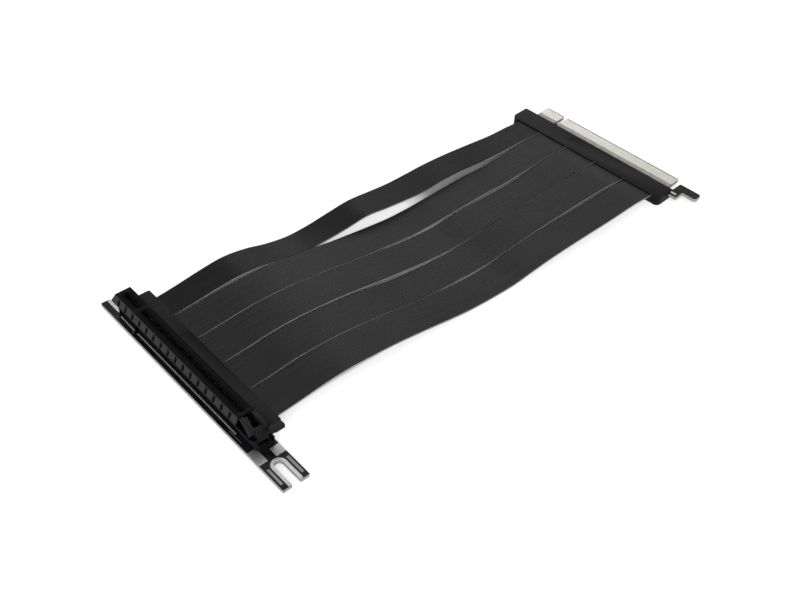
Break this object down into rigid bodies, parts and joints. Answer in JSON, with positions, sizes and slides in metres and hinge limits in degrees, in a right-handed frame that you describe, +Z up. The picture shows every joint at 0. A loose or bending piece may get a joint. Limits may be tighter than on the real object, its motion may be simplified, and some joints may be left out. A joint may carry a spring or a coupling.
{
  "type": "gpu riser cable",
  "caption": "Flat ribbon extension cable with a long card slot and latch at one end and a notched edge plug at the other, laid out flat.",
  "frame": {"origin": "centre of the bounding box in plan, on the surface that the cable lies on", "axes": "+Y along the ribbons from the slot to the plug, +X along the slot towards its latch, +Z up"},
  "size_m": [0.1298, 0.2654, 0.0146],
  "materials": {
    "slot_plastic": "fine satin black moulding",
    "latch_plastic": "satin black moulding",
    "moulding": "satin dark grey moulding with a fine grain",
    "ribbon_jacket": "satin black jacket with fine lengthwise ribs",
    "board": "black solder mask on laminate",
    "tinned_copper": "tinned, satin"
  },
  "bodies": {
    "cable": {"slot_board": "board", "slot_housing": "slot_plastic", "slot_moulding": "moulding", "plug_board": "board", "plug_moulding": "moulding", "ribbon_1": "ribbon_jacket", "slot_solder_end_1": "tinned_copper", "plug_solder_end_1": "tinned_copper", "ribbon_2": "ribbon_jacket", "slot_solder_end_2": "tinned_copper", "plug_solder_end_2": "tinned_copper", "ribbon_3": "ribbon_jacket", "slot_solder_end_3": "tinned_copper", "plug_solder_end_3": "tinned_copper", "ribbon_4": "ribbon_jacket", "slot_solder_end_4": "tinned_copper", "plug_solder_end_4": "tinned_copper", "ribbon_5": "ribbon_jacket", "slot_solder_end_5": "tinned_copper", "plug_solder_end_5": "tinned_copper"},
    "latch": {"latch": "latch_plastic"}
  },
  "joints": [
    {"name": "latch_hinge", "type": "hinge", "parent": "cable", "child": "latch", "pos_m": [0.04075, -0.12635, 0.0075], "axis": [0, 1, 0], "range_deg": [0, 18]}
  ]
}
